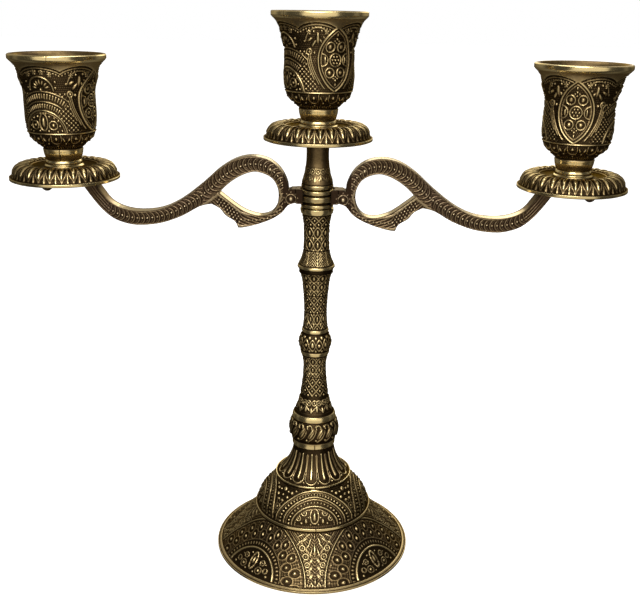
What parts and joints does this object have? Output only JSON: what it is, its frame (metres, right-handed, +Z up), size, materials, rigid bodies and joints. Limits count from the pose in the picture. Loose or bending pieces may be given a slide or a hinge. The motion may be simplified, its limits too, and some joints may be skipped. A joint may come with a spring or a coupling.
{
  "type": "tabletop candelabra",
  "caption": "Candelabra with a domed bell base, a slender turned stem, two scrolled arms, and flared candle cups on ribbed drip pans.",
  "frame": {"origin": "middle of the base, on the surface that it stands on", "axes": "+Z up the stem, +X along the right arm, -Y towards the viewer"},
  "size_m": [0.2896, 0.1004, 0.27],
  "materials": {
    "antique_brass": "cast brass with dark brown patina in the relief and rubbed bright edges",
    "arm_brass": "darker patinated cast brass, polished on the top faces",
    "zinc_steel": "zinc plated hardware"
  },
  "bodies": {
    "stand": {"base": "antique_brass", "base_washer": "zinc_steel", "base_nut": "zinc_steel", "tie_rod": "zinc_steel", "stem_bulb": "antique_brass", "stem_lower": "antique_brass", "stem_upper": "antique_brass", "stem_top": "antique_brass"},
    "arms": {"arm_hub": "antique_brass", "arm_left": "arm_brass", "arm_right": "arm_brass", "arm_stud_left": "zinc_steel", "arm_stud_right": "zinc_steel", "cup_screw_left": "zinc_steel", "cup_screw_right": "zinc_steel", "cup_washer_left": "zinc_steel", "cup_washer_right": "zinc_steel"},
    "light_left": {"candle_cup_left": "antique_brass", "drip_pan_left": "antique_brass"},
    "light_right": {"candle_cup_right": "antique_brass", "drip_pan_right": "antique_brass"},
    "light_centre": {"candle_cup_centre": "antique_brass", "drip_pan_centre": "antique_brass"}
  },
  "joints": [
    {"name": "arms_swivel", "type": "hinge", "parent": "stand", "child": "arms", "pos_m": [0, 0, 0.1866], "axis": [0, 0, 1], "continuous": true},
    {"name": "left_cup_turn", "type": "hinge", "parent": "arms", "child": "light_left", "pos_m": [-0.1194, 0, 0.197], "axis": [0, 0, 1], "continuous": true},
    {"name": "right_cup_turn", "type": "hinge", "parent": "arms", "child": "light_right", "pos_m": [0.1194, 0, 0.197], "axis": [0, 0, 1], "continuous": true},
    {"name": "centre_cup_turn", "type": "hinge", "parent": "stand", "child": "light_centre", "pos_m": [0, 0, 0.2175], "axis": [0, 0, 1], "continuous": true}
  ]
}
